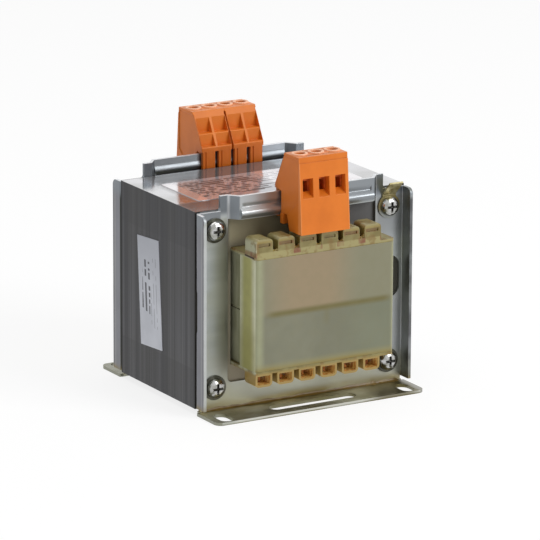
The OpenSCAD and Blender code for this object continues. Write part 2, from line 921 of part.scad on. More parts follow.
// Blade with a ring round the upper right core screw, its free end folded out by 45 degrees
module earth_tab() {
    middle = sheet + washer_t / 2;
    fold_z = hole_high + washer_d / 2;
    reach = tab_len * sqrt(0.5);
    color([0.72, 0.62, 0.32])
        difference() {
            union() {
                translate([hole_x, -head_y, hole_high]) rotate([-90, 0, 0])
                    cylinder(h = washer_t, d = washer_d, $fn = 48);
                along_x(hole_x - tab_w / 2, hole_x + tab_w / 2)
                    polygon(strip([
                        [middle, hole_high], [middle, fold_z], [middle + reach, fold_z + reach]
                    ], washer_t));
            }
            translate([hole_x, -head_y - 1, hole_high]) rotate([-90, 0, 0])
                cylinder(h = washer_t + 2, d = screw_d + 2 * fit, $fn = 48);
        }
}

// ---------- labels ----------

module rating_plate() {
    color([0.80, 0.80, 0.80])
        translate([0, 0, core_top]) linear_extrude(foil_t) centred([plate_len, plate_w], 1.5);
}

module side_label() {
    label_y = 6.2;
    label_z = core_lift + core_h / 2 - 1;
    color([0.78, 0.79, 0.79])
        translate([-core_w / 2 - foil_t, label_y, label_z])
            rotate([-label_slant, 0, 0])
                translate([0, -label_w / 2, -label_h / 2]) cube([foil_t, label_w, label_h]);
}

e_laminations();
i_laminations();
front_bracket();
back_bracket();
coil_former();
upper_winding();
lower_winding();
upper_wrap();
lower_wrap();
front_coil_cover();
back_coil_cover();
solder_pins();
terminal_block_front();
terminal_block_back_left();
terminal_block_back_right();
clamp_cages();
clamp_screws();
contact_tails();
lead_wires();
core_screws();
head_washers();
nut_washers();
nuts();
earth_tab();
rating_plate();
side_label();
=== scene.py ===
# %% [markdown]
# # Laminated chassis transformer
# A mains transformer stands on two folded brackets. Its stack of dark steel sheets carries a
# coil in a moulded former, and orange terminal blocks are clipped to the bracket rails. The
# solid parts arrive exact, from the part's own model, so this lesson is about finishes: zinc
# plate, varnished steel, mouldings soaked in varnish, and the small soft shapes that varnish
# leaves behind. Everything is in metres, with Z up and the feet on Z = 0.

# %% Load the solid parts
import math

import bmesh
import bpy
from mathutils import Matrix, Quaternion, Vector


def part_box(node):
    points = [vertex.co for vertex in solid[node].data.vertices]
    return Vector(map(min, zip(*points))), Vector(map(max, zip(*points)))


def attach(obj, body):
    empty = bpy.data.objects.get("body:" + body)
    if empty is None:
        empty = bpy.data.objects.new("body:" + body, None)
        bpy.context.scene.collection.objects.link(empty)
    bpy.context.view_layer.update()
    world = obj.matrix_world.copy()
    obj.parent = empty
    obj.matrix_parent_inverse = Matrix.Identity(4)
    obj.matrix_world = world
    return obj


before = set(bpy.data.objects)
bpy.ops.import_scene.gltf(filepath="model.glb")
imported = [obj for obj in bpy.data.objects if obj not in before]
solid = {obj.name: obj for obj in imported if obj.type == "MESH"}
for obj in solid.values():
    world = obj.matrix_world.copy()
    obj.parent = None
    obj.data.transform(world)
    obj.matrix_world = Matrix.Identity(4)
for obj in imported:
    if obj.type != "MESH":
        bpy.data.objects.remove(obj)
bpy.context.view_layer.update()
MM = 0.001

# %% [markdown]
# ## Camera
# A long lens far away keeps the upright edges nearly parallel. The camera is placed by its
# bearing and height angle round a point inside the object, because those are the numbers that
# one would change to walk round it. A small lens shift puts the object where it belongs in the
# frame without turning the camera.

# %% Camera
AIM = Vector((0, 0, 45 * MM))
BEARING = math.radians(-30.55)
HEIGHT_ANGLE = math.radians(15.05)
LEAN = math.radians(0.25)
DISTANCE = 1822 * MM
FOCAL_LENGTH, SENSOR_WIDTH = 302, 36
SHIFT = (0.015, 0.004)

to_camera = Vector((
    math.sin(BEARING) * math.cos(HEIGHT_ANGLE),
    -math.cos(BEARING) * math.cos(HEIGHT_ANGLE),
    math.sin(HEIGHT_ANGLE),
))
lens = bpy.data.cameras.new("long_lens")
lens.sensor_width = SENSOR_WIDTH
lens.lens = FOCAL_LENGTH
lens.shift_x, lens.shift_y = SHIFT
lens.clip_start, lens.clip_end = 0.1, 20
camera = bpy.data.objects.new("camera", lens)
camera.location = AIM + DISTANCE * to_camera
camera.rotation_mode = "QUATERNION"
camera.rotation_quaternion = (-to_camera).to_track_quat("-Z", "Y") @ Quaternion((0, 0, 1), LEAN)
bpy.context.collection.objects.link(camera)
bpy.context.scene.camera = camera
print("camera at", tuple(round(c, 3) for c in camera.location))

# %% [markdown]
# ## Small tools for materials
# A material is a little machine of connected nodes. A few helpers keep the wiring short: they
# add a node and set it up, do sums with masks, start a material, and lay one colour over
# another where a mask says so, which is how stains, prints and wear are painted.

# %% Helpers for nodes
def add_node(tree, kind, inputs=None, **settings):
    """A new node with its settings and input values; an input may also be a socket to link."""
    node = tree.nodes.new(kind)
    for name, value in settings.items():
        setattr(node, name, value)
    for name, value in (inputs or {}).items():
        if isinstance(value, bpy.types.NodeSocket):
            tree.links.new(value, node.inputs[name])
        else:
            node.inputs[name].default_value = value
    return node


def object_place(tree):
    """Where a point lies on the part, in the part's own coordinates."""
    return add_node(tree, "ShaderNodeTexCoord").outputs["Object"]


def vector_node(tree, operation, *values):
    inputs = dict(enumerate(values))
    return add_node(tree, "ShaderNodeVectorMath", inputs, operation=operation).outputs[0]


def split(tree, vector):
    """The X, Y and Z of a vector, each as a number."""
    return tuple(add_node(tree, "ShaderNodeSeparateXYZ", {0: vector}).outputs)


print("node helpers ready")

# %% Helpers for masks
def math_node(tree, operation, a, b=0.0):
    return add_node(tree, "ShaderNodeMath", {0: a, 1: b}, operation=operation).outputs[0]


def both_masks(tree, *masks):
    """A mask that is strong only where all the given masks are."""
    result = masks[0]
    for mask in masks[1:]:
        result = math_node(tree, "MULTIPLY", result, mask)
    return result


def between(tree, value, low, high, start=0.0, end=1.0):
    """A number that runs from low to high as the value runs from start to end."""
    return add_node(tree, "ShaderNodeMapRange", {
        "Value": value, "From Min": start, "From Max": end, "To Min": low, "To Max": high,
    }).outputs[0]


print("mask helpers ready")

# %% Helpers for materials
def srgb(red, green, blue):
    """A colour as seen on a screen, turned into the linear values that a shader works with."""
    return tuple(
        c / 12.92 if c <= 0.04045 else ((c + 0.055) / 1.055) ** 2.4 for c in (red, green, blue)
    ) + (1.0,)


def start_material(name, **shader_values):
    """A material with its Principled shader, whose plain values are given by socket name."""
    material = bpy.data.materials.new(name)
    material.use_nodes = True
    shader = material.node_tree.nodes["Principled BSDF"]
    for socket, value in shader_values.items():
        shader.inputs[socket.replace("_", " ")].default_value = value
    return material, material.node_tree, shader


def feed(tree, shader, **sockets):
    """Links what was made to the shader, by socket name."""
    for socket, value in sockets.items():
        tree.links.new(value, shader.inputs[socket.replace("_", " ")])


def relief(tree, shader, height, depth, strength):
    """Bump of the given depth in millimetres, fed to the shader's normal."""
    bump = add_node(tree, "ShaderNodeBump",
                    {"Height": height, "Strength": strength, "Distance": depth * MM})
    feed(tree, shader, Normal=bump.outputs[0])


def lay_over(tree, under, over, mask, strength=1.0):
    """The colour under, with the colour over laid on it as strongly as the mask says."""
    if strength != 1.0:
        mask = math_node(tree, "MULTIPLY", mask, strength)
    mix = add_node(tree, "ShaderNodeMix", {0: mask, 6: under, 7: over}, data_type="RGBA")
    return mix.outputs[2]


def two_tones(tree, first, second, mask):
    """A colour that wanders from the first tone to the second as the mask grows."""
    return lay_over(tree, srgb(*first), srgb(*second), mask)


print("mid grey in a shader:", round(srgb(0.5, 0.5, 0.5)[0], 3))

# %% [markdown]
# ## Shared effects
# Zinc grain, the edges of the steel sheets and the clouding of varnish are all one thing to a
# computer: noise, stretched one way or another and turned into a mask. One group makes it,
# and each material gives it its own scale and stretch. Noise read from the object's own
# coordinates stays in place on the part, whichever way it is turned.

# %% Shared effect: clouds, grain and streaks
FLOAT, VECTOR = "NodeSocketFloat", "NodeSocketVector"


def begin_group(name, *inputs):
    """A node group with named inputs, which puts out one mask; also what arrives inside it."""
    group = bpy.data.node_groups.new(name, "ShaderNodeTree")
    for label, kind, value in inputs:
        group.interface.new_socket(label, in_out="INPUT", socket_type=kind).default_value = value
    group.interface.new_socket("Mask", in_out="OUTPUT", socket_type=FLOAT)
    return group, group.nodes.new("NodeGroupInput").outputs


def end_group(group, mask):
    """Connects the finished mask to the way out of the group."""
    group.links.new(mask, group.nodes.new("NodeGroupOutput").inputs["Mask"])
    print("group:", group.name)


def place_group(tree, group, values=None):
    """Puts a group into a material with its own values, and gives its mask."""
    return add_node(tree, "ShaderNodeGroup", values, node_tree=group).outputs["Mask"]


streak_group, given = begin_group(
    "streaks", ("Stretch", VECTOR, (1, 1, 1)), ("Scale", FLOAT, 300),
    ("Low", FLOAT, 0.4), ("High", FLOAT, 0.6),
)
stretched = vector_node(streak_group, "MULTIPLY", object_place(streak_group), given["Stretch"])
noise = add_node(streak_group, "ShaderNodeTexNoise",
                 {"Vector": stretched, "Scale": given["Scale"], "Detail": 4.0})
levels = add_node(
    streak_group, "ShaderNodeMapRange",
    {"Value": noise.outputs["Fac"], "From Min": given["Low"], "From Max": given["High"]},
    interpolation_type="SMOOTHSTEP",
)
end_group(streak_group, levels.outputs[0])

# %% [markdown]
# A second group answers one question: is this point inside a box, with soft sides? It places
# every local effect, such as varnish along a fold or print on a label, by real positions.

# %% Shared effect: a soft box
zone_group, given = begin_group(
    "zone", ("Low", VECTOR, (-1, -1, -1)), ("High", VECTOR, (1, 1, 1)),
    ("Softness", VECTOR, (MM, MM, MM)),
)
place = object_place(zone_group)
sides = []
for corner, outside, inside in (("Low", 0, 1), ("High", 1, 0)):
    before = vector_node(zone_group, "SUBTRACT", given[corner], given["Softness"])
    after = vector_node(zone_group, "ADD", given[corner], given["Softness"])
    ramp = add_node(
        zone_group, "ShaderNodeMapRange",
        {"Vector": place, 7: before, 8: after, 9: (outside,) * 3, 10: (inside,) * 3},
        data_type="FLOAT_VECTOR", interpolation_type="SMOOTHSTEP",
    )
    sides.append(ramp.outputs["Vector"])
end_group(zone_group, both_masks(
    zone_group, *split(zone_group, vector_node(zone_group, "MULTIPLY", *sides))))

# %% [markdown]
# Printed plates need rows of marks. A third group makes them from two coordinates, along the
# row and across it: rows repeat at a pitch, and chance leaves cells of each row empty. The
# result looks like small print from a distance and says nothing.

# %% Shared effect: rows of printed marks
print_group, given = begin_group(
    "printed_rows", ("Place", VECTOR, (0, 0, 0)), ("Cell", FLOAT, 1 * MM),
    ("Pitch", FLOAT, 3 * MM), ("Row Height", FLOAT, 0.5), ("Empty", FLOAT, 0.35),
)
along, across, _ = split(print_group, given["Place"])
cell = math_node(print_group, "FLOOR", math_node(print_group, "DIVIDE", along, given["Cell"]))
rows = math_node(print_group, "DIVIDE", across, given["Pitch"])
in_row = math_node(print_group, "LESS_THAN", math_node(print_group, "FRACT", rows),
                   given["Row Height"])
address = add_node(print_group, "ShaderNodeCombineXYZ",
                   {0: cell, 1: math_node(print_group, "FLOOR", rows)})
chance = add_node(print_group, "ShaderNodeTexWhiteNoise", {"Vector": address.outputs[0]},
                  noise_dimensions="3D")
filled = math_node(print_group, "GREATER_THAN", chance.outputs["Value"], given["Empty"])
end_group(print_group, both_masks(print_group, in_row, filled))

# %% [markdown]
# The groups are placed with short calls. Positions are given in millimetres here, which suits
# a part of this size, and a limit that is None is far away. Most finishes are one base colour
# with coats laid over it in turn, so a coat is written as one line of a table: what it is, its
# tone, how strong it is, and where. What it is also becomes the label of its node.

# %% Calls that place the shared effects
FAR = 1000


def streaks(tree, scale, low=0.35, high=0.65, stretch=(1, 1, 1)):
    """Mask of noise: finer with a larger scale, drawn out where stretch is small."""
    return place_group(tree, streak_group,
                       {"Scale": scale, "Low": low, "High": high, "Stretch": stretch})


def zone(tree, x=None, y=None, z=None, softness=0.5):
    """Mask of a box; softness is one number, or one for each direction."""
    ranges = [limits or (None, None) for limits in (x, y, z)]
    soft = softness if isinstance(softness, tuple) else (softness,) * 3
    return place_group(tree, zone_group, {
        "Low": [(-FAR if low is None else low) * MM for low, high in ranges],
        "High": [(FAR if high is None else high) * MM for low, high in ranges],
        "Softness": [s * MM for s in soft],
    })


def on_side(side, inner, outer=None):
    """Limits of what lies between two distances from the middle, on side -1 or side 1."""
    if side > 0:
        return inner, outer
    return None if outer is None else -outer, -inner


def printed_rows(tree, place, cell, pitch, row_height, empty):
    """Mask of print whose marks and rows repeat at the given millimetres."""
    return place_group(tree, print_group, {
        "Place": place, "Cell": cell * MM, "Pitch": pitch * MM, "Row Height": row_height,
        "Empty": empty,
    })


def paint(tree, colour, *coats):
    """Lays coats over a colour. A coat is (what, tone, strength, mask or limits of a zone)."""
    for what, tone, strength, where in coats:
        mask = zone(tree, **where) if isinstance(where, dict) else where
        over = tone if isinstance(tone, bpy.types.NodeSocket) else srgb(*tone)
        colour = lay_over(tree, colour, over, mask, strength)
        colour.node.label = what
    return colour


print("effects ready")

# %% [markdown]
# Finishes are put on the solid parts by name, and places on them come from their boxes.

# %% Helpers for the solid parts
def give_finish(material, *names):
    """Gives solid parts their material."""
    for name in names:
        solid[name].data.materials.clear()
        solid[name].data.materials.append(material)
    print(material.name, "on", ", ".join(names))


def box_mm(name):
    """Lowest and highest corner of a solid part in millimetres."""
    low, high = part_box(name)
    return Vector(low) / MM, Vector(high) / MM


print("finish helpers ready")

# %% [markdown]
# ## Softened edges
# The imported parts have perfectly sharp edges, and nothing real has. Their faces come as
# separate islands, so the points are first welded together; then a bevel rounds every edge
# that turns by more than a limit. The round is small, but it catches the light, and that
# bright line is what tells the eye that an edge is there.

# %% Softened edges
WELD_DISTANCE = 0.002
SHARP_TURN = math.radians(35)


def soften(name, radius):
    """Rounds the sharp edges of a solid part with modifiers; the mesh itself stays."""
    part = solid[name]
    weld = part.modifiers.new("weld", "WELD")
    weld.merge_threshold = WELD_DISTANCE * MM
    bevel = part.modifiers.new("soft_edges", "BEVEL")
    bevel.width = radius * MM
    bevel.segments = 2
    bevel.limit_method = "ANGLE"
    bevel.angle_limit = SHARP_TURN
    bevel.harden_normals = True


for name, radius in (
    ("front_bracket", 0.12), ("back_bracket", 0.12), ("coil_former", 0.18),
    ("front_coil_cover", 0.15), ("back_coil_cover", 0.15), ("terminal_block_front", 0.22),
    ("terminal_block_back_left", 0.22), ("terminal_block_back_right", 0.22),
    ("head_washers", 0.12), ("nut_washers", 0.12), ("nuts", 0.25), ("earth_tab", 0.15),
):
    soften(name, radius)
print("softened parts:", sum(1 for part in solid.values() if part.modifiers))

# %% [markdown]
# ## Laminated core
# The core is hundreds of thin steel sheets pressed together and dipped in varnish. Its sides
# show the sheet edges as fine upright lines, because the sheets stand one behind the other
# along Y. Noise that changes only along Y draws them. The outer packets are turned over
# against each other, so the yokes look a little darker than the legs between them.

# %% Measures of the core
e_low, e_high = box_mm("e_laminations")
i_low, i_high = box_mm("i_laminations")
CORE_SIDE = max(e_high.x, i_high.x)
CORE_FACE = max(e_high.y, i_high.y)
CORE_FOOT = min(e_low.z, i_low.z)
CORE_TOP = max(e_high.z, i_high.z)
YOKE = (CORE_TOP - CORE_FOOT) / 5
print("core sides at", round(CORE_SIDE, 1), "faces at", round(CORE_FACE, 1))

# %% Steel sheets and varnish on the core
core_steel, tree, shader = start_material("core_steel", Specular_IOR_Level=0.22)
sheets = streaks(tree, 330, 0.3, 0.7, (0.02, 1, 0.006))
fine_sheets = streaks(tree, 1500, 0.3, 0.7, (0.02, 1, 0.004))
clouds = streaks(tree, 45, 0.4, 0.7, (1, 1, 0.5))
height = split(tree, object_place(tree))[2]
rising = between(tree, height, 0.0, 1.0, CORE_FOOT * MM, CORE_TOP * MM)
# Painted shade darkens the sides of the core towards the top
core_colour = paint(
    tree, two_tones(tree, (0.27, 0.27, 0.28), (0.41, 0.41, 0.42), sheets),
    ("fine sheet edges", (0.22, 0.22, 0.23), 0.45, fine_sheets),
    ("painted shade towards the top", (0.20, 0.20, 0.21), 0.55, rising),
    ("lower yoke", (0.22, 0.22, 0.23), 0.3, dict(z=(None, CORE_FOOT + YOKE), softness=0.4)),
    ("upper yoke", (0.22, 0.22, 0.23), 0.3, dict(z=(CORE_TOP - YOKE, None), softness=0.4)),
    ("clouds of varnish", (0.28, 0.27, 0.24), 0.25, clouds),
)
relief(tree, shader, fine_sheets, 0.012, 0.6)
print("yokes are", round(YOKE, 1), "mm high")

# %% [markdown]
# The faces of the core show through the windows of the brackets. They are soaked in olive
# varnish, with painted light low down on the left and painted shade beside the coil, under the
# rail and behind the terminal block. A painted shadow line parts bracket and core, which gives
# the eye the depth of the gap.

# %% Faces of the core in the windows
# Olive varnish on the faces, with painted light on the left and painted shade under the rail,
# beside the coil and behind the block
UNDER_RAIL = CORE_TOP - 15
face_varnish_light_and_shade = paint(
    tree, two_tones(tree, (0.52, 0.50, 0.44), (0.46, 0.44, 0.36), clouds),
    ("painted light on the left", (0.66, 0.63, 0.55), 0.8,
     dict(x=(None, -24), z=(0, CORE_TOP - 22), softness=6)),
    ("shade under the rail", (0.36, 0.36, 0.36), 1.0, dict(z=(UNDER_RAIL, None), softness=3)),
    ("lighter painted shade under the left of the rail", (0.60, 0.57, 0.46), 0.85,
     dict(x=(-33, -2), z=(UNDER_RAIL, CORE_TOP - 2), softness=(1, 1, 3))),
    ("painted shade in the gap beside the coil", (0.25, 0.25, 0.23), 0.9, dict(x=(33, None), softness=1)),
    ("shade behind the block", (0.20, 0.18, 0.14), 0.75,
     dict(x=(-17, 16), z=(CORE_TOP - 6, None), softness=(7, 1, 4))),
)
for facing in (-1, 1):
    core_colour = paint(tree, core_colour, ("face varnish with painted light and shade", face_varnish_light_and_shade, 1.0, dict(
        y=on_side(facing, CORE_FACE - 0.05), softness=0.04)))
# Painted shadow behind the flanges and in the gaps between flange and core
for side in (-1, 1):
    core_colour = paint(tree, core_colour, ("painted shadow behind the flange", (0.05, 0.05, 0.05), 0.95, dict(
        x=on_side(side, CORE_SIDE - 2.2, CORE_SIDE - 0.02), softness=0.02)))
for facing in (-1, 1):
    core_colour = paint(tree, core_colour, ("painted shadow in the gap at the flange", (0.05, 0.05, 0.05), 0.95, dict(
        x=(None, 0.1 - CORE_SIDE), y=on_side(facing, CORE_FACE - 0.8), softness=(0.05, 0.7, 1))))
print("faces of the core painted")

# %% [markdown]
# The top of the core is different: it was wiped and carries a clear film, so it mirrors what
# stands around it. A painted dark reflection lies in the middle and along the front rail, where
# the top is darker and mirrors less, and a painted shadow runs along its front and back edges.

# %% Film on the top of the core
# Painted dark reflection in the middle and by the front rail, painted shadow along the edges
BY_RAIL = dict(x=(None, 20), y=(None, -15.6))
film = zone(tree, z=(CORE_TOP - 0.05, None), softness=0.04)
dark_reflection_zone = zone(tree, x=(-39, 20), softness=3)
film_and_reflection = paint(
    tree, two_tones(tree, (0.84, 0.84, 0.85), (0.74, 0.74, 0.74), clouds),
    ("painted dark reflection in the middle", (0.46, 0.45, 0.45), 0.95, dark_reflection_zone),
    ("painted dark reflection along the front rail", (0.36, 0.36, 0.37), 0.9, dict(softness=(3, 1.5, 1), **BY_RAIL)),
)
core_colour = paint(tree, core_colour, ("film with painted dark reflection", film_and_reflection, 1.0, film))
for facing in (-1, 1):
    edge = zone(tree, y=on_side(facing, CORE_FACE - 0.5), softness=0.15)
    core_colour = paint(tree, core_colour, (
        "painted shadow at the edge of the top", (0.05, 0.04, 0.04), 0.9, both_masks(tree, film, edge)))
mirror = both_masks(
    tree, film, between(tree, dark_reflection_zone, 1.0, 0.5),
    between(tree, zone(tree, softness=(3, 0.5, 1), **BY_RAIL), 1.0, 0.5))
feed(tree, shader, Base_Color=core_colour, Metallic=mirror,
     Roughness=between(tree, film, 0.5, 0.13))
give_finish(core_steel, "e_laminations", "i_laminations")

# %% [markdown]
# ## Zinc-plated brackets
# The brackets are folded from zinc-plated sheet. Zinc reads as a pale, slightly blue metal
# with faint streaks from rolling. Dipping the whole part in varnish leaves an olive film that
# is thickest on the foot, along its fold and round the window, and thin on the rail. Each of
# these is a zone with a colour, broken up by clouds so that no stain has a ruled edge.

# %% Measures of the brackets
SHEET = 1.25
FLANGE_REACH = 5.6
WINDOW_HALF = 34.0
TAB_END = WINDOW_HALF + 3.3
PLATE_FACE = CORE_FACE + SHEET
FLANGE_END = PLATE_FACE + FLANGE_REACH
bracket_low, bracket_high = box_mm("front_bracket")
FOOT_END = -bracket_low.y
RAIL_TOP = bracket_high.z
print("plate at", round(PLATE_FACE, 2), "foot to", round(FOOT_END, 2))

# %% Rolled zinc on the face plates
zinc, tree, shader = start_material("zinc_sheet", Metallic=0.85)
rolled = streaks(tree, 260, 0.3, 0.7, (0.12, 1, 1))
clouds = streaks(tree, 70, 0.35, 0.65)
patchy = streaks(tree, 110, 0.38, 0.62, (0.5, 1, 1))
BESIDE_WINDOW = (WINDOW_HALF - 2, WINDOW_HALF + 4)
zinc_colour = paint(
    tree, two_tones(tree, (0.69, 0.71, 0.71), (0.64, 0.66, 0.66), rolled),
    ("thin varnish", (0.67, 0.68, 0.63), 0.6, clouds),
    ("varnish left of the window", (0.58, 0.58, 0.52), 0.8,
     dict(x=on_side(-1, *BESIDE_WINDOW), z=(4, 76), softness=(3.5, 1, 6))),
    ("varnish right of the window", (0.66, 0.66, 0.63), 0.8,
     dict(x=on_side(1, *BESIDE_WINDOW), z=(4, 76), softness=(3.5, 1, 6))),
    ("right limb", (0.66, 0.67, 0.68), 0.8,
     dict(x=(WINDOW_HALF, None), z=(4, 46), softness=(3, 1, 14))),
    ("right limb round the earth tab", (0.52, 0.53, 0.54), 0.8,
     dict(x=(WINDOW_HALF, None), y=(None, 0), z=(62, None), softness=(2, 1, 6))),
    ("varnish above the foot", (0.68, 0.68, 0.62), 0.7, dict(z=(0, 13), softness=4)),
)
relief(tree, shader, rolled, 0.02, 0.4)
print("window from", -WINDOW_HALF, "to", WINDOW_HALF)

# %% Rails
RAIL_FOOT = CORE_TOP - 3.5
rail = zone(tree, z=(RAIL_FOOT, None), softness=1.0)
# The back rail and the right ends of the rails carry painted shade
for what, tone, strength, limits in (
    ("bright rail", (0.70, 0.72, 0.73), 0.8, {}),
    ("painted shade on the right end of the rails", (0.50, 0.52, 0.54), 0.85, {"x": (16, None)}),
    ("painted shade on the back rail", (0.50, 0.52, 0.54), 0.85, {"y": (0, None)}),
):
    part_of_rail = both_masks(tree, rail, zone(tree, softness=3, **limits)) if limits else rail
    zinc_colour = paint(tree, zinc_colour, (what, tone, strength, part_of_rail))
print("rails from", round(RAIL_FOOT, 1), "up")

# %% [markdown]
# The flanges are seen from outside on one side and from inside on the other. Their cut edges
# carry a painted highlight on the left and painted shade on the right; a painted shadow lies in
# the valley where flange and plate meet, and two faint lines follow the fold. The tabs beside
# the window are darker, and their bends carry a painted highlight.

# %% Flanges and tabs
ABOVE_FOOT = (3, None)
cut_edge = between(tree, patchy, 0.6, 1.0)
# Painted highlight on the left cut edges, painted shade on the right ones, painted shadow in each
# fold valley and a painted highlight on the bends of the tabs
for side, edge_light_and_shade in ((-1, (0.74, 0.75, 0.75)), (1, (0.30, 0.30, 0.31))):
    outside = on_side(side, CORE_SIDE - 0.06)
    zinc_colour = paint(tree, zinc_colour, (
        "outside of the flange", (0.45, 0.45, 0.48), 0.9, dict(x=outside, softness=0.05)))
    for facing in (-1, 1):
        edge = zone(tree, x=on_side(side, CORE_SIDE - 2), y=on_side(facing, FLANGE_END - 0.5),
                    z=(3, 78), softness=(0.3, 0.1, 1))
        zinc_colour = paint(
            tree, zinc_colour,
            ("painted shadow in the valley of the fold", (0.08, 0.08, 0.07), 0.92,
             dict(x=on_side(side, CORE_SIDE - 1.45, CORE_SIDE - 0.05),
                  y=on_side(facing, CORE_FACE - 1, PLATE_FACE - 0.02),
                  z=ABOVE_FOOT, softness=(0.08, 0.1, 1))),
            ("cut edge", edge_light_and_shade, 0.85, both_masks(tree, edge, cut_edge)),
        )
        for nearest, furthest, grey in ((0.15, 0.75, 0.30), (1.3, 2.3, 0.55)):
            line = on_side(facing, FLANGE_END - furthest, FLANGE_END - nearest)
            zinc_colour = paint(tree, zinc_colour, ("line along the edge", (grey,) * 3, 0.7, dict(
                x=outside, y=line, z=ABOVE_FOOT, softness=(0.05, 0.2, 1))))
    zinc_colour = paint(
        tree, zinc_colour,
        ("tab", (0.37, 0.39, 0.41), 0.85,
         dict(x=on_side(side, WINDOW_HALF - 3), z=(CORE_TOP - 2, None), softness=(0.4, 1, 1.5))),
        ("painted highlight on the bend of the tab", (0.82, 0.83, 0.84), 0.8,
         dict(x=on_side(side, WINDOW_HALF - 0.5, WINDOW_HALF + 0.3), y=(None, 0),
              z=(CORE_TOP - 5, None), softness=(0.35, 1, 3))),
    )
print("flanges and tabs painted")

# %% Steps and top edges
for what, reach in (
    ("left shoulder", (None, -TAB_END)),
    ("left joggle", (-WINDOW_HALF + 0.4, -WINDOW_HALF + 3.2)),
):
    zinc_colour = paint(tree, zinc_colour, (what, (0.50, 0.52, 0.54), 0.9, dict(
        x=reach, y=(1 - FLANGE_END, None), z=(CORE_TOP - 6, None), softness=(0.4, 1, 2.5))))
# Thin painted highlights along the top edges of the shoulders and the rail
SHOULDER_TOP = CORE_TOP - 0.6
for what, reach, top in (
    ("painted highlight on top of the left shoulder", (None, -TAB_END), SHOULDER_TOP),
    ("painted highlight on top of the right shoulder", (TAB_END, None), SHOULDER_TOP),
    ("painted highlight on top of the rail", None, RAIL_TOP),
):
    zinc_colour = paint(tree, zinc_colour, (what, (0.90, 0.91, 0.92), 0.85, dict(
        x=reach, z=(top - 0.12, top + 0.1), softness=0.1)))
print("shoulders end at", round(SHOULDER_TOP, 1))

# %% [markdown]
# Varnish drains to the foot, so it is the most stained: amber along the fold, olive on the
# flat, with blots where drops dried. The corners stay barer, and the cut edge carries a painted
# highlight. The inside of the right flange carries painted shade.

# %% Feet
def on_foot(**limits):
    """Mask of a part of the feet."""
    return both_masks(tree, foot, zone(tree, **limits))


foot = zone(tree, z=(None, SHEET + 0.1), softness=0.08)
by_fold = both_masks(tree, zone(tree, z=(0.8, 3.8), softness=(1, 1, 2.2)),
                     between(tree, patchy, 0.55, 1.0))
# The inside of the right flange carries painted shade
zinc_colour = paint(
    tree, zinc_colour,
    ("amber along the fold", (0.52, 0.45, 0.22), 0.9, by_fold),
    ("painted shade inside the right flange", (0.46, 0.47, 0.45), 0.8,
     dict(x=(CORE_SIDE - SHEET - 0.5, CORE_SIDE - 0.1),
          y=on_side(-1, PLATE_FACE + 0.4, FLANGE_END - 0.3),
          z=ABOVE_FOOT, softness=(0.1, 0.4, 1))),
    ("olive on the foot", (0.41, 0.39, 0.25), 0.88,
     both_masks(tree, foot, between(tree, patchy, 0.45, 1.0))),
)
# A painted highlight runs along the edge of each foot
for facing in (-1, 1):
    zinc_colour = paint(tree, zinc_colour, ("painted highlight on the edge of the foot", (0.80, 0.80, 0.77), 0.9, dict(
        y=on_side(facing, FOOT_END - 0.12), z=(0.45, 2), softness=(1, 0.06, 0.25))))
for middle, size in ((30, 5.0), (37, 2.5), (-14, 9.0)):
    blot = on_foot(x=(middle - size, middle + size),
                   y=on_side(-1, CORE_FACE + 10.5, CORE_FACE + 15.5), softness=(1.6, 1.2, 1))
    zinc_colour = paint(tree, zinc_colour, ("blot", (0.28, 0.25, 0.12), 0.8, blot))
zinc_colour = paint(
    tree, zinc_colour,
    ("yellow end", (0.34, 0.30, 0.13), 0.75, on_foot(x=(24, 44), softness=6)),
    ("left corner", (0.60, 0.61, 0.57), 0.6, on_foot(x=(None, -40), softness=3)),
    ("bare right corner", (0.68, 0.68, 0.67), 0.6, on_foot(x=(45.5, None), softness=1)),
)
feed(tree, shader, Base_Color=zinc_colour, Roughness=between(tree, clouds, 0.31, 0.44))
give_finish(zinc, "front_bracket", "back_bracket")

# %% [markdown]
# ## Coil former
# The former is a pale, slightly see-through moulding. Soaked in varnish it turns olive, and
# amber where the varnish stands thick: inside the lower cups, in the grooves of the upper
# chambers and at their feet. The chambers repeat at a pitch, so their insides are found by
# wrapping the X coordinate to one chamber and asking how far a point is from its middle.

# %% Measures of the former
_, former_high = box_mm("coil_former")
cover_low, cover_high = box_mm("front_coil_cover")
CHAMBER_PITCH = 9.9
CHAMBER_WIDTH = 7.6
CHAMBER_WALL = 0.9
RIM = 1.2
FORMER_SIDE, FORMER_FACE, FORMER_TOP = former_high
FIRST_CHAMBER = CHAMBER_WIDTH / 2 - FORMER_SIDE
LOWER_EDGE = cover_low.z - RIM
UPPER_EDGE = cover_high.z + RIM
PARTITION = (LOWER_EDGE + UPPER_EDGE) / 2 - 0.2
print("chamber edges at", round(LOWER_EDGE, 2), "and", round(UPPER_EDGE, 2))

# %% Effect: inside of the chambers
chamber_group, _ = begin_group("chamber_inside")
x_place, y_place, _ = split(chamber_group, object_place(chamber_group))
half_pitch = CHAMBER_PITCH / 2 * MM
wall_from_edge = half_pitch - (CHAMBER_WIDTH - CHAMBER_WALL) / 2 * MM
insides = []
for side in (1, -1):
    from_edge = math_node(chamber_group, "SUBTRACT", x_place,
                          side * FIRST_CHAMBER * MM - half_pitch)
    wrapped = math_node(chamber_group, "PINGPONG", from_edge, half_pitch)
    insides.append(math_node(chamber_group, "GREATER_THAN", wrapped, wall_from_edge))
at_back = math_node(chamber_group, "GREATER_THAN", y_place, 0.0)
chosen = add_node(chamber_group, "ShaderNodeMix", {0: at_back, 2: insides[0], 3: insides[1]},
                  data_type="FLOAT")
end_group(chamber_group, chosen.outputs[0])

# %% Varnished moulding of the former
former, tree, shader = start_material(
    "varnished_moulding", Roughness=0.36, Coat_Weight=0.25, Coat_Roughness=0.18)
clouds = streaks(tree, 170, 0.35, 0.65)
inside = place_group(tree, chamber_group)
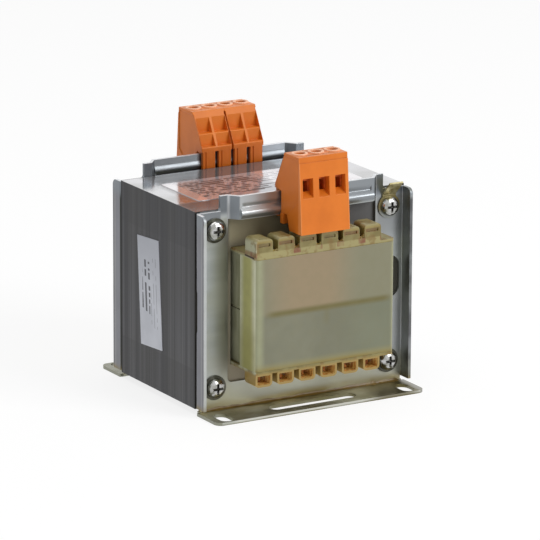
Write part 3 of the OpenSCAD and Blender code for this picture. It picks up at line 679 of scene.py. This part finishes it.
# The left wall of the former carries painted light
former_colour = paint(
    tree, two_tones(tree, (0.53, 0.49, 0.29), (0.45, 0.40, 0.19), clouds),
    ("painted light on the left wall", (0.74, 0.74, 0.62), 0.85, dict(x=(None, 0.4 - FORMER_SIDE), softness=0.3)),
    ("caps of the chambers", (0.60, 0.56, 0.38), 0.8,
     dict(z=(FORMER_TOP - 1, None), softness=0.7)),
    ("rim above the cover", (0.62, 0.58, 0.38), 0.8,
     dict(z=(UPPER_EDGE - 0.9, UPPER_EDGE + 1.7), softness=0.3)),
    ("dried drops", (0.46, 0.34, 0.10), 0.6, streaks(tree, 260, 0.50, 0.64)),
)
relief(tree, shader, clouds, 0.06, 0.35)
print("former sides at", round(FORMER_SIDE, 1), "faces at", round(FORMER_FACE, 1))

# %% Grooves and feet of the upper chambers
GROOVE = (FORMER_TOP - 3.1, FORMER_TOP - 1.7)
wandering = between(tree, streaks(tree, 110, 0.42, 0.58), 0.2, 1.0)
for facing in (-1, 1):
    front_wall = on_side(facing, FORMER_FACE - 0.6)
    groove = both_masks(tree, inside, zone(tree, y=front_wall, z=GROOVE, softness=0.25), wandering)
    belly = both_masks(tree, inside, zone(
        tree, y=front_wall, z=(GROOVE[1] + 0.2, FORMER_TOP - 0.7), softness=0.4))
    former_colour = paint(
        tree, former_colour,
        ("groove", (0.46, 0.28, 0.10), 0.7, groove),
        ("belly over the groove", (0.60, 0.50, 0.22), 0.45, belly),
    )
between_chambers = math_node(tree, "SUBTRACT", 1.0, inside)
feet = both_masks(tree, between_chambers, zone(
    tree, z=(UPPER_EDGE - 0.1, UPPER_EDGE + 1.9), softness=0.3), clouds)
former_colour = paint(
    tree, former_colour,
    ("feet of the chambers", (0.46, 0.16, 0.08), 0.8, feet),
    ("rib of the partition", (0.70, 0.70, 0.58), 0.9,
     dict(y=(4 - FORMER_FACE, FORMER_FACE - 4), z=(PARTITION - 1.6, PARTITION + 1.6),
          softness=0.3)),
)
print("grooves from", round(GROOVE[0], 1), "to", round(GROOVE[1], 1))

# %% Amber in the lower cups
below = zone(tree, z=(None, LOWER_EDGE + 0.2), softness=0.7)
in_cups = both_masks(tree, below, inside, zone(
    tree, y=(0.2 - FORMER_FACE, FORMER_FACE - 0.2), softness=0.12))
amber = two_tones(tree, (0.78, 0.54, 0.26), (0.96, 0.82, 0.50),
                  streaks(tree, 900, 0.4, 0.6, (1, 1, 0.35)))
former_colour = paint(
    tree, former_colour,
    ("lower cups", (0.61, 0.50, 0.25), 0.95, below),
    ("pools in the cups", amber, 0.9, in_cups),
    ("seam at the left corner", (0.20, 0.08, 0.03), 1.0,
     dict(x=(None, 0.3 - FORMER_SIDE), y=on_side(-1, FORMER_FACE - 8.8, FORMER_FACE - 1.5),
          z=(UPPER_EDGE - 0.8, UPPER_EDGE - 0.1), softness=0.15)),
)
feed(tree, shader, Base_Color=former_colour)
give_finish(former, "coil_former")

# %% [markdown]
# ## Coil covers
# The covers are thin mouldings over the windings. They let some of the coil show through: the
# upper winding warm, the lower one grey-green, with the partition between them as an olive
# band. Their borders stand clear of the coil, so they are lighter and yellower, and varnish
# gives the lower border an amber edge. Each is a zone with wide soft sides, because light
# spreads inside such a plastic.

# %% Coil seen through the covers
cover, tree, shader = start_material(
    "coil_cover", Roughness=0.40, Specular_IOR_Level=0.4, Coat_Weight=0.2, Coat_Roughness=0.2)
clouds = streaks(tree, 45, 0.35, 0.65)
COVER_SIDE = cover_high.x
cover_colour = paint(
    tree, two_tones(tree, (0.48, 0.48, 0.40), (0.44, 0.44, 0.36), clouds),
    ("upper winding", (0.58, 0.48, 0.36), 1.0,
     dict(x=(-22, 9), z=(PARTITION, None), softness=(9, 1, 1.4))),
    ("greener on the right", (0.44, 0.46, 0.37), 0.6, dict(x=(12, None), softness=10)),
    ("paler above the partition", (0.56, 0.53, 0.42), 0.45,
     dict(z=(PARTITION, None), softness=1.2)),
    ("partition", (0.40, 0.37, 0.18), 0.95,
     dict(x=(-26, COVER_SIDE - 2.5), z=(PARTITION - 0.9, PARTITION + 1.2), softness=(3, 1, 1.1))),
    ("drip under the partition", (0.44, 0.40, 0.22), 0.35,
     dict(x=(-0.5, 1.5), z=(PARTITION - 6, PARTITION), softness=(1.5, 1, 2.5))),
)
relief(tree, shader, clouds, 0.10, 0.25)
print("cover sides at", round(COVER_SIDE, 1))

# %% Borders and walls of the covers
low_edge = both_masks(tree, zone(tree, z=(None, cover_low.z + 1), softness=0.9),
                      between(tree, clouds, 0.4, 1.0))
# Painted light on the left walls of the covers, for light that spreads into the plastic; on the
# front cover it is strongest near the wall's front and rear edges
left_wall_painted_light = paint(
    tree, two_tones(tree, (0.82, 0.82, 0.70), (0.68, 0.67, 0.42), zone(
        tree, y=on_side(-1, CORE_FACE + 9, CORE_FACE + 16.5), softness=2)),
    ("lower part of the wall", (0.56, 0.54, 0.28), 0.5,
     dict(z=(None, PARTITION - 6), softness=8)),
)
cover_colour = paint(
    tree, cover_colour,
    ("left border", (0.60, 0.61, 0.48), 0.8,
     dict(x=(-COVER_SIDE - 1, -COVER_SIDE + 3.2), softness=(1.6, 1, 1))),
    ("right border", (0.62, 0.62, 0.48), 0.7, dict(x=(COVER_SIDE - 1.3, None), softness=1)),
    ("lower border", (0.55, 0.52, 0.34), 0.75, dict(z=(None, cover_low.z + 2.2), softness=1.6)),
    ("amber lower edge", (0.52, 0.44, 0.16), 0.85, low_edge),
    ("painted light on the left wall", left_wall_painted_light, 1.0, dict(x=(None, 0.25 - COVER_SIDE), softness=0.2)),
    ("grain", (0.47, 0.45, 0.32), 0.12, streaks(tree, 260, 0.4, 0.65)),
)
feed(tree, shader, Base_Color=cover_colour)
give_finish(cover, "front_coil_cover", "back_coil_cover")

# %% [markdown]
# ## Windings, wraps and the small metal parts
# Behind the covers a greenish wrap of fleece holds each winding, and under it the turns of
# wire lie one above the other, so their relief is stretched across the turns.

# %% Windings and wraps
copper, tree, shader = start_material("enamelled_copper", Metallic=0.6, Roughness=0.35)
turns = streaks(tree, 1400, 0.3, 0.7, (0.02, 0.02, 1))
feed(tree, shader, Base_Color=two_tones(tree, (0.36, 0.20, 0.10), (0.55, 0.32, 0.15), turns))
relief(tree, shader, turns, 0.2, 0.6)
give_finish(copper, "upper_winding", "lower_winding", "lead_wires")

wrap, tree, shader = start_material("varnished_wrap", Roughness=0.45, Specular_IOR_Level=0.3)
fibres = streaks(tree, 420, 0.35, 0.65, (1, 1, 0.2))
feed(tree, shader, Base_Color=two_tones(tree, (0.66, 0.66, 0.55), (0.58, 0.58, 0.47), fibres))
relief(tree, shader, fibres, 0.05, 0.4)
give_finish(wrap, "upper_wrap", "lower_wrap")

# %% [markdown]
# The screw heads are bright zinc, and their cross recesses carry painted shade, dark and matt.
# The recess is found by distance from the four screw axes: folding the coordinates over the
# middle of the core brings all four heads onto one. The threaded ends at the back lie on the
# same axes, so the mark is kept to the front half.

# %% Core screws
HEAD_RADIUS = 4.0
ARM_LENGTH, ARM_HALF_WIDTH = 1.95 * MM, 0.52 * MM
screw_low, screw_high = box_mm("core_screws")
SCREW_X = screw_high.x - HEAD_RADIUS
MIDDLE_Z = (screw_low.z + screw_high.z) / 2
SCREW_Z = screw_high.z - HEAD_RADIUS - MIDDLE_Z

screw_zinc, tree, shader = start_material("bright_screw_zinc")
from_middle = vector_node(tree, "SUBTRACT", object_place(tree), (0, 0, MIDDLE_Z * MM))
from_axis = vector_node(tree, "SUBTRACT", vector_node(tree, "ABSOLUTE", from_middle),
                        (SCREW_X * MM, 0, SCREW_Z * MM))
level, _, upright = split(tree, vector_node(tree, "ABSOLUTE", from_axis))
arms = [
    both_masks(tree, math_node(tree, "LESS_THAN", thin, ARM_HALF_WIDTH),
               math_node(tree, "LESS_THAN", long, ARM_LENGTH))
    for thin, long in ((level, upright), (upright, level))
]
recess = both_masks(tree, math_node(tree, "MAXIMUM", *arms), zone(tree, y=(None, 0), softness=1))
# Painted shade in the cross recess
screw_colour = paint(
    tree, two_tones(tree, (0.74, 0.74, 0.74), (0.60, 0.60, 0.57), streaks(tree, 500)),
    ("painted shade in the recess", (0.10, 0.08, 0.04), 1.0, recess),
)
feed(tree, shader, Base_Color=screw_colour, Metallic=between(tree, recess, 1.0, 0.2),
     Roughness=between(tree, recess, 0.16, 0.5))
give_finish(screw_zinc, "core_screws")

# %% [markdown]
# The other metal parts are small, so two tones of fine noise nearly do. The cages stand in
# light that the plastic has turned orange, the washers in front are darker than the nuts at
# the back, and the brass earth tab is stained round the screw head.

# %% Metal parts of two tones
for name, metallic, roughness, first, second, grain, parts in (
    ("clamp_zinc", 1.0, 0.25, (0.72, 0.72, 0.70), (0.60, 0.60, 0.56), (500,),
     ("clamp_screws",)),
    ("cage_in_orange_light", 0.3, 0.45, (0.85, 0.42, 0.14), (0.72, 0.32, 0.10), (500,),
     ("clamp_cages",)),
    ("tinned_pins", 0.6, 0.4, (0.62, 0.40, 0.18), (0.42, 0.20, 0.08), (900, 0.4, 0.6),
     ("solder_pins", "contact_tails")),
):
    metal, tree, shader = start_material(name, Metallic=metallic, Roughness=roughness)
    feed(tree, shader, Base_Color=two_tones(tree, first, second, streaks(tree, *grain)))
    give_finish(metal, *parts)

# %% Washers, nuts and earth tab
dull, tree, shader = start_material("varnished_zinc", Metallic=0.85, Roughness=0.36)
feed(tree, shader, Base_Color=paint(
    tree, two_tones(tree, (0.36, 0.36, 0.33), (0.25, 0.25, 0.21), streaks(tree, 300)),
    ("cleaner at the back", (0.58, 0.58, 0.53), 0.8, dict(y=(0, None), softness=1)),
))
give_finish(dull, "head_washers", "nut_washers", "nuts")

brass, tree, shader = start_material("varnished_brass", Metallic=0.7, Roughness=0.34)
feed(tree, shader, Base_Color=paint(
    tree, two_tones(tree, (0.80, 0.76, 0.58), (0.66, 0.61, 0.42), streaks(tree, 260, 0.4, 0.6)),
    ("round the screw head", (0.34, 0.30, 0.16), 0.8,
     dict(z=(None, screw_high.z + 0.9), softness=0.6)),
    ("worn to grey", (0.55, 0.57, 0.57), 0.85,
     dict(z=(None, MIDDLE_Z + SCREW_Z - 1.5), softness=1.5)),
    ("spots of varnish", (0.50, 0.38, 0.12), 0.6, streaks(tree, 520, 0.55, 0.65)),
))
give_finish(brass, "earth_tab")

# %% [markdown]
# ## Terminal blocks
# Orange glass-filled nylon with a satin skin. Moulding leaves it faintly mottled. Where the
# wire entries and pockets go deep the plastic looks redder, because light bounces inside it
# from orange to orange, and the renderer makes that by itself. The tops and the front corners
# carry a painted highlight, and the legs of the back blocks carry painted shade.

# %% Terminal blocks
block_low, block_high = box_mm("terminal_block_front")
back_block_top = box_mm("terminal_block_back_left")[1].z
RAIL_Y = 37

orange, tree, shader = start_material("orange_moulding", Roughness=0.40, Specular_IOR_Level=0.3)
block_colour = paint(
    tree, two_tones(tree, (0.86, 0.46, 0.12), (0.82, 0.43, 0.10), streaks(tree, 120, 0.3, 0.7)),
    ("flow of the moulding", (0.88, 0.49, 0.15), 0.5, streaks(tree, 60, 0.4, 0.7, (1, 1, 0.25))),
)
for facing, top in ((-1, block_high.z), (1, back_block_top)):
    block_colour = paint(tree, block_colour, ("painted highlight on the top", (1.0, 0.78, 0.64), 0.85, dict(
        y=on_side(facing, 0), z=(top - 0.5, top + 1), softness=0.3)))
block_colour = paint(tree, block_colour, ("painted shade on the legs at the back", (0.72, 0.34, 0.06), 0.6, dict(
    y=(0, RAIL_Y), z=(None, CORE_TOP + 8), softness=(1, 1, 2))))
for corner in ((None, block_low.x + 0.3), (block_high.x - 0.3, None)):
    block_colour = paint(tree, block_colour, ("painted highlight on the front corner", (0.94, 0.62, 0.38), 0.55, dict(
        x=corner, y=(None, block_low.y + 2.4), softness=0.15)))
feed(tree, shader, Base_Color=block_colour)
relief(tree, shader, streaks(tree, 2500, 0.3, 0.7), 0.02, 0.2)
give_finish(orange, "terminal_block_front", "terminal_block_back_left",
            "terminal_block_back_right")

# %% [markdown]
# ## Plate and label
# A glossy foil plate lies on the top of the core and mirrors the blocks behind it. Its print
# runs in rows along X inside a bare border, and is fainter on the right. The matt label on the
# left side is stuck on with a slant and printed along its length. Both carry plain marks only.

# %% Rating plate
plate_low, plate_high = box_mm("rating_plate")
MARGIN_X, MARGIN_Y = 5, 4

foil, tree, shader = start_material("foil_plate")
place = object_place(tree)
print_field = zone(tree, x=(plate_low.x + MARGIN_X, plate_high.x - MARGIN_X),
                   y=(plate_low.y + MARGIN_Y, plate_high.y - MARGIN_Y), softness=0.1)
marks = math_node(tree, "MAXIMUM", printed_rows(tree, place, 1.3, 2.6, 0.56, 0.30),
                  printed_rows(tree, place, 5.2, 5.8, 0.22, 0.5))
left_part = zone(tree, x=(None, 2), softness=6)
ink = both_masks(tree, print_field, marks, between(tree, left_part, 0.35, 1.0))
# A painted dark reflection darkens the foil on the left, where it also mirrors less
foil_dark_reflection = zone(tree, x=(-32, 3), softness=3)
plate_colour = paint(
    tree, two_tones(tree, (0.96, 0.95, 0.96), (0.91, 0.89, 0.90), streaks(tree, 60)),
    ("painted dark reflection on the foil", (0.74, 0.74, 0.76), 1.0, foil_dark_reflection),
    ("ink", (0.15, 0.08, 0.08), 0.95, ink),
)
metal = both_masks(tree, between(tree, foil_dark_reflection, 0.68, 0.46), between(tree, ink, 1.0, 0.5))
feed(tree, shader, Base_Color=plate_colour, Metallic=metal,
     Roughness=between(tree, ink, 0.11, 0.3))
give_finish(foil, "rating_plate")

# %% Side label
SLANT = math.tan(math.radians(3.8))
label_low, label_high = box_mm("side_label")
label_middle = (label_low.y + label_high.y) / 2

paper_label, tree, shader = start_material("matt_label", Roughness=0.55, Specular_IOR_Level=0.3)
_, y_place, z_place = split(tree, object_place(tree))
across = math_node(tree, "SUBTRACT", y_place, math_node(tree, "MULTIPLY", z_place, SLANT))
along_row = add_node(tree, "ShaderNodeCombineXYZ", {0: z_place, 1: across}).outputs[0]
bold = both_masks(tree, printed_rows(tree, along_row, 0.9, 2.9, 0.45, 0.28), zone(
    tree, y=(label_middle - 0.5, label_high.y - 4.2), z=(label_low.z + 14, label_high.z - 10),
    softness=0.05))
thin = both_masks(tree, printed_rows(tree, along_row, 1.7, 2.2, 0.16, 0.4), zone(
    tree, y=(label_low.y + 3.6, label_middle - 1), z=(label_low.z + 9, label_high.z - 8),
    softness=0.05))
ink = math_node(tree, "MAXIMUM", math_node(tree, "MULTIPLY", bold, 0.85),
                math_node(tree, "MULTIPLY", thin, 0.5))
# The upper end of the label carries painted shade
feed(tree, shader, Base_Color=paint(
    tree, two_tones(tree, (0.79, 0.80, 0.83), (0.75, 0.76, 0.79), streaks(tree, 90)),
    ("painted shade at the upper end", (0.64, 0.65, 0.68), 0.7,
     dict(z=(label_high.z - 12, None), softness=12)),
    ("ink", (0.20, 0.20, 0.22), 1.0, ink),
))
give_finish(paper_label, "side_label")

# %% [markdown]
# ## Varnish along the folds
# When the dipped part drains, varnish gathers in the inner corner between plate and foot and
# sets as an amber fillet. It is a thin strip with a hollow face, thicker in some places than
# in others. The strip is swept along X in mesh code: each station has the same profile, made
# larger or smaller by a sum of slow waves, so the result is the same on every run.

# %% Helper for the shapes of varnish
def make_piece(name, mesh, material):
    """Turns finished mesh code into a smooth object with its material."""
    bmesh.ops.recalc_face_normals(mesh, faces=mesh.faces)
    for face in mesh.faces:
        face.smooth = True
    data = bpy.data.meshes.new(name)
    mesh.to_mesh(data)
    mesh.free()
    data.materials.append(material)
    piece = bpy.data.objects.new(name, data)
    bpy.context.collection.objects.link(piece)
    return piece


print("helper for varnish ready")


# %% Profile of the fillet
WAVES = ((0.18, 0.31, 0.6), (0.12, 0.83, 2.1), (0.04, 2.1, 0.0))
DROP_X, DROP_WIDTH = 33.5, 0.9
BURIED = 0.25
CURVE_STEPS = 6
HOLLOW = 0.98


def fillet_size(x):
    """Width of the fillet in millimetres at the position x."""
    waves = sum(size * math.sin(pace * x + start) for size, pace, start in WAVES)
    return 0.95 + waves + 0.9 * math.exp(-((x - DROP_X) / DROP_WIDTH) ** 2)


def fillet_profile(size):
    """Points out from the plate and up from the foot, round the strip."""
    profile = [(-BURIED, size), (0.0, size)]
    for step in range(1, CURVE_STEPS):
        angle = math.radians(90 * step / CURVE_STEPS)
        profile.append((size * (1 - math.cos(angle)) * HOLLOW,
                        size * (1 - math.sin(angle)) * HOLLOW))
    return profile + [(size * 1.15, 0.0), (size * 1.15, -BURIED), (-BURIED, -BURIED)]


print("fillet in the middle", round(fillet_size(0), 2), "mm wide")

# %% Varnish fillets
STATIONS = 160
TAPER = 4
FILLET_REACH = CORE_SIDE - 1.8


def varnish_fillet(name, facing, material):
    """The strip on the bracket that faces -Y (facing -1) or +Y (facing +1)."""
    mesh = bmesh.new()
    sections = []
    for i in range(STATIONS + 1):
        x = -FILLET_REACH + 2 * FILLET_REACH * i / STATIONS
        taper = min(1.0, (i + 0.5) / TAPER, (STATIONS - i + 0.5) / TAPER)
        sections.append([
            mesh.verts.new(Vector((x, facing * (PLATE_FACE + out), SHEET + up)) * MM)
            for out, up in fillet_profile(fillet_size(x) * taper)
        ])
    for a, b in zip(sections, sections[1:]):
        for j in range(len(a)):
            k = (j + 1) % len(a)
            mesh.faces.new((a[j], a[k], b[k], b[j]))
    mesh.faces.new(sections[0])
    mesh.faces.new(list(reversed(sections[-1])))
    return make_piece(name, mesh, material)


varnish, tree, shader = start_material("amber_varnish", Roughness=0.34)
thick = streaks(tree, 160, 0.35, 0.65, (1, 0.3, 0.3))
feed(tree, shader, Base_Color=two_tones(tree, (0.50, 0.41, 0.19), (0.40, 0.31, 0.12), thick))
relief(tree, shader, thick, 0.1, 0.5)
for name, facing in (("varnish_fillet_front", -1), ("varnish_fillet_back", 1)):
    piece = varnish_fillet(name, facing, varnish)
    print(name, len(piece.data.polygons), "faces")
    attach(piece, "root")

# %% [markdown]
# Varnish also stands between neighbouring chambers, as a small hollow web on the rim. Each web
# is a patch whose upper edge sags in the middle, given some thickness. All webs of one side
# make one piece.

# %% Varnish between the chambers
WEBS = 5
WEB_STEPS = 10
WEB_FACE = FORMER_FACE - 0.35
WEB_DEPTH = 0.9
WEB_THICKNESS = 0.5
GAP = CHAMBER_PITCH - CHAMBER_WIDTH


def chamber_webs(name, facing, material):
    """Webs on the side that faces -Y (facing -1) or +Y (facing +1)."""
    mesh = bmesh.new()
    for number in range(WEBS):
        start = -facing * (FIRST_CHAMBER + number * CHAMBER_PITCH + CHAMBER_WIDTH / 2)
        rise = 1.5 + 0.5 * math.sin(2.3 * number + facing)
        columns = []
        for i in range(WEB_STEPS + 1):
            t = i / WEB_STEPS
            x = start - facing * GAP * t
            sag = 4 * (t - 0.5) ** 2
            top = UPPER_EDGE + 1.75 + rise * (0.25 + 0.75 * sag)
            columns.append([mesh.verts.new(Vector(point) * MM) for point in (
                (x, facing * (WEB_FACE - WEB_DEPTH + WEB_DEPTH * sag), top),
                (x, facing * WEB_FACE, UPPER_EDGE + 1.4),
            )])
        for (a, b), (c, d) in zip(columns, columns[1:]):
            mesh.faces.new((a, b, d, c))
    piece = make_piece(name, mesh, material)
    thickness = piece.modifiers.new("thickness", "SOLIDIFY")
    thickness.thickness = WEB_THICKNESS * MM
    thickness.offset = 0
    return piece


olive_varnish, tree, shader = start_material("olive_varnish", Roughness=0.25)
feed(tree, shader, Base_Color=two_tones(
    tree, (0.58, 0.52, 0.28), (0.50, 0.36, 0.16), streaks(tree, 300, 0.35, 0.65)))
for name, facing in (("chamber_webs_front", -1), ("chamber_webs_back", 1)):
    piece = chamber_webs(name, facing, olive_varnish)
    print(name, len(piece.data.polygons), "faces")
    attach(piece, "root")

# %% [markdown]
# ## Floor and light
# A pale floor carries the object's shadow. To the camera and in reflections it is white; the
# world is white there too, so metal shows a bright room. The lamps are large and soft: one
# from the front right above makes the fronts brighter than the left sides, and one overhead
# fills the tops.

# %% Floor
HALF_FLOOR = 6.0
UNDER_FEET = -0.02 * MM
mesh = bpy.data.meshes.new("floor")
corners = ((-1, -1), (1, -1), (1, 1), (-1, 1))
mesh.from_pydata([(x * HALF_FLOOR, y * HALF_FLOOR, UNDER_FEET) for x, y in corners],
                 [], [(0, 1, 2, 3)])
floor = bpy.data.objects.new("floor", mesh)
bpy.context.collection.objects.link(floor)
paper, _, _ = start_material(
    "pale_floor", Base_Color=(0.24, 0.24, 0.24, 1), Roughness=0.9, Specular_IOR_Level=0.0,
    Emission_Color=(1, 1, 1, 1), Emission_Strength=0.80)
mesh.materials.append(paper)
print("floor", tuple(floor.dimensions[:2]))

# %% World
SOFT_FILL, WHITE = 0.38, 1.0
world = bpy.data.worlds.new("studio")
world.use_nodes = True
bpy.context.scene.world = world
tree = world.node_tree
sky = tree.nodes["Background"]
rays = add_node(tree, "ShaderNodeLightPath").outputs
seen = math_node(tree, "MAXIMUM", rays["Is Camera Ray"], math_node(
    tree, "MAXIMUM", rays["Is Glossy Ray"], rays["Is Transmission Ray"]))
feed(tree, sky, Strength=between(tree, seen, SOFT_FILL, WHITE))
sky.inputs["Color"].default_value = (1, 1, 1, 1)
print("world: fill", SOFT_FILL, "seen as", WHITE)

# %% Lamps
for name, place, size, power in (
    ("key", (0.75, -1.3, 0.9), 0.9, 14),
    ("overhead", (0.0, 0.1, 1.5), 1.2, 7),
):
    light = bpy.data.lights.new(name, "AREA")
    light.shape = "RECTANGLE"
    light.size = light.size_y = size
    light.energy = power
    lamp = bpy.data.objects.new(name, light)
    lamp.location = place
    lamp.rotation_mode = "QUATERNION"
    lamp.rotation_quaternion = (AIM - Vector(place)).to_track_quat("-Z", "Y")
    bpy.context.collection.objects.link(lamp)
    print(name, power, "W")

# %% View
view = bpy.context.scene.view_settings
view.view_transform = "Standard"
print("view transform:", view.view_transform)
